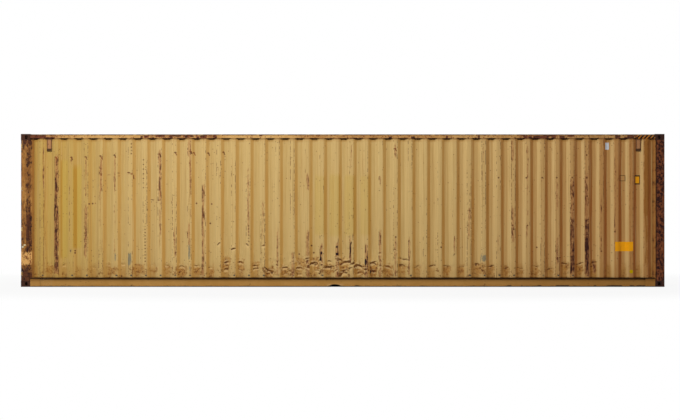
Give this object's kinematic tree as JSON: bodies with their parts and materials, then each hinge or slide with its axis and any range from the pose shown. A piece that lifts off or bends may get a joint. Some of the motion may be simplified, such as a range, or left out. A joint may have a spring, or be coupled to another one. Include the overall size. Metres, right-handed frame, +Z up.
{
  "type": "shipping container",
  "caption": "Long high steel freight container with corrugated walls, hollow cast corner fittings and a pair of swinging end doors.",
  "frame": {"origin": "centre of the footprint, on the plane of the lower faces of the bottom corner fittings", "axes": "+X from the door end to the closed front end, +Y from the side seen in the picture to the far side, +Z up"},
  "size_m": [12.192, 2.438, 2.896],
  "materials": {
    "wall_paint": "weathered ochre paint over corrugated steel",
    "roof_paint": "weathered ochre paint, chalky",
    "rail_paint": "weathered ochre paint with rust",
    "rear_post_paint": "ochre paint worn to orange-brown rust",
    "front_post_paint": "dark red-brown rusted paint",
    "door_paint": "weathered ochre paint",
    "casting_paint": "worn paint over cast steel",
    "underframe_coating": "dark waxy coating",
    "galvanised_steel": "dull zinc coating",
    "seal_rubber": "matt black",
    "plywood": "worn marine plywood",
    "vent_cover": "moulded cover painted with the wall"
  },
  "bodies": {
    "box": {"bottom_corner_fittings_rear": "casting_paint", "bottom_corner_fittings_front": "casting_paint", "top_corner_fittings_rear": "casting_paint", "top_corner_fittings_front": "casting_paint", "rear_post_near": "rear_post_paint", "rear_post_far": "rear_post_paint", "front_post_near": "front_post_paint", "front_post_far": "front_post_paint", "side_wall_near": "wall_paint", "side_wall_far": "wall_paint", "front_wall": "wall_paint", "top_side_rail_near": "rail_paint", "top_side_rail_far": "rail_paint", "front_top_rail": "rail_paint", "bottom_side_rail_near": "rail_paint", "bottom_side_rail_far": "rail_paint", "rail_end_plates": "rail_paint", "front_sill": "rail_paint", "roof": "roof_paint", "roof_end_plates": "roof_paint", "cross_members": "underframe_coating", "gooseneck_tunnel": "underframe_coating", "floor": "plywood", "door_header": "rail_paint", "door_sill": "rail_paint", "hinge_lugs_near": "rear_post_paint", "hinge_lugs_far": "rear_post_paint", "cam_keepers": "galvanised_steel", "ventilators": "vent_cover"},
    "near_door": {"near_door_frame": "door_paint", "near_door_panel": "door_paint", "near_door_seal": "seal_rubber", "near_door_hinges": "door_paint", "near_door_locking_bars": "galvanised_steel", "near_door_bar_brackets": "galvanised_steel", "near_door_handles": "galvanised_steel", "near_door_handle_catches": "galvanised_steel"},
    "far_door": {"far_door_frame": "door_paint", "far_door_panel": "door_paint", "far_door_seal": "seal_rubber", "far_door_hinges": "door_paint", "far_door_locking_bars": "galvanised_steel", "far_door_bar_brackets": "galvanised_steel", "far_door_handles": "galvanised_steel", "far_door_handle_catches": "galvanised_steel"}
  },
  "joints": [
    {"name": "near_door_hinge", "type": "hinge", "parent": "box", "child": "near_door", "pos_m": [-6.081, -1.204, 1.4625], "axis": [0, 0, 1], "range_deg": [0, 262]},
    {"name": "far_door_hinge", "type": "hinge", "parent": "box", "child": "far_door", "pos_m": [-6.081, 1.204, 1.4625], "axis": [0, 0, -1], "range_deg": [0, 262]}
  ]
}
